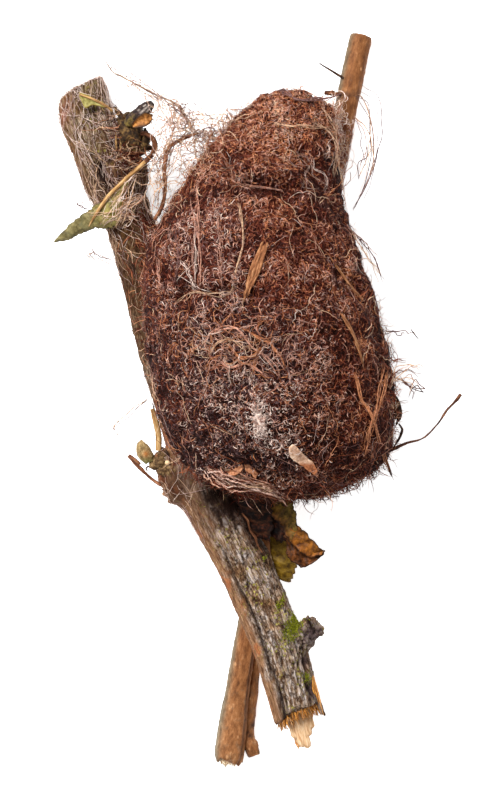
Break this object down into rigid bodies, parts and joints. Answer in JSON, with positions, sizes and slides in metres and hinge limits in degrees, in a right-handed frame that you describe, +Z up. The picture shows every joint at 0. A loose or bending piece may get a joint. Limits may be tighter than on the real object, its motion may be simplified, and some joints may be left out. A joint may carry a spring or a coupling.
{
  "type": "silk cocoon",
  "caption": "Felted brown moth cocoon spun between a thick lichened branch and a slender twig, with dry leaves and straws caught in the silk, lying on its back.",
  "frame": {"origin": "middle of the flat spot on the cocoon's back, on the surface that the object lies on", "axes": "+Y along the cocoon towards the cut top end of the slender twig, +X to the right as seen from above, +Z up, out of the cocoon's front"},
  "size_m": [0.0735, 0.1309, 0.0372],
  "materials": {
    "silk": "matte felted silk",
    "grey_bark": "rough weathered bark",
    "brown_bark": "smooth young bark",
    "dark_bark": "rough dead wood",
    "green_leaf": "dry leaf, satin",
    "brown_leaf": "withered leaf, satin",
    "pale_paper": "papery, matte",
    "straw": "dry straw, satin",
    "pale_bud": "matte bud scales"
  },
  "bodies": {
    "root": {"cocoon": "silk", "thick_branch": "grey_bark", "slender_twig": "brown_bark", "side_twig": "brown_bark", "side_spur": "dark_bark", "dead_bud": "dark_bark", "bud_scale": "brown_leaf", "hooked_petiole": "brown_bark", "left_leaf": "green_leaf", "green_sliver": "green_leaf", "knee_bud": "pale_bud", "knee_spur": "straw", "knee_twiglet": "dark_bark", "dry_leaf": "brown_leaf", "green_leaf": "green_leaf", "papery_strip": "pale_paper", "papery_scrap": "pale_paper", "straw_front": "straw", "straw_upper": "straw", "straw_lower": "straw", "grass_stem": "straw", "dark_sliver": "dark_bark", "tendril": "brown_bark", "loose_strand": "pale_paper", "top_thorn": "dark_bark", "side_thorn": "dark_bark"}
  },
  "joints": []
}
